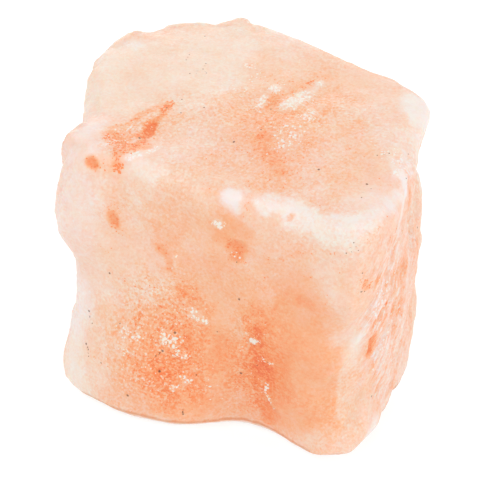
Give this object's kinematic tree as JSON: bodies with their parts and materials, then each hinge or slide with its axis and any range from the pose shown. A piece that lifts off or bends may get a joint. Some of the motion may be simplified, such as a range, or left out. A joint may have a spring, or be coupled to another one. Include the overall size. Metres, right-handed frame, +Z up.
{
  "type": "halite crystal block",
  "caption": "Rough cubic block of cloudy pink halite with worn edges, rounded lobes in front, slanting flutes down one side and a flat base to rest on.",
  "frame": {"origin": "on the flat resting face, straight under the heart of the block", "axes": "+Z up from the resting face, -Y towards the front with its lobes, +X towards the fluted side, which is the long way of the block"},
  "size_m": [0.0689, 0.0608, 0.0591],
  "materials": {
    "pink_halite": "waxy, cloudy and slightly see-through, with white veils and orange iron stains"
  },
  "bodies": {
    "root": {"halite_crystal": "pink_halite"}
  },
  "joints": []
}
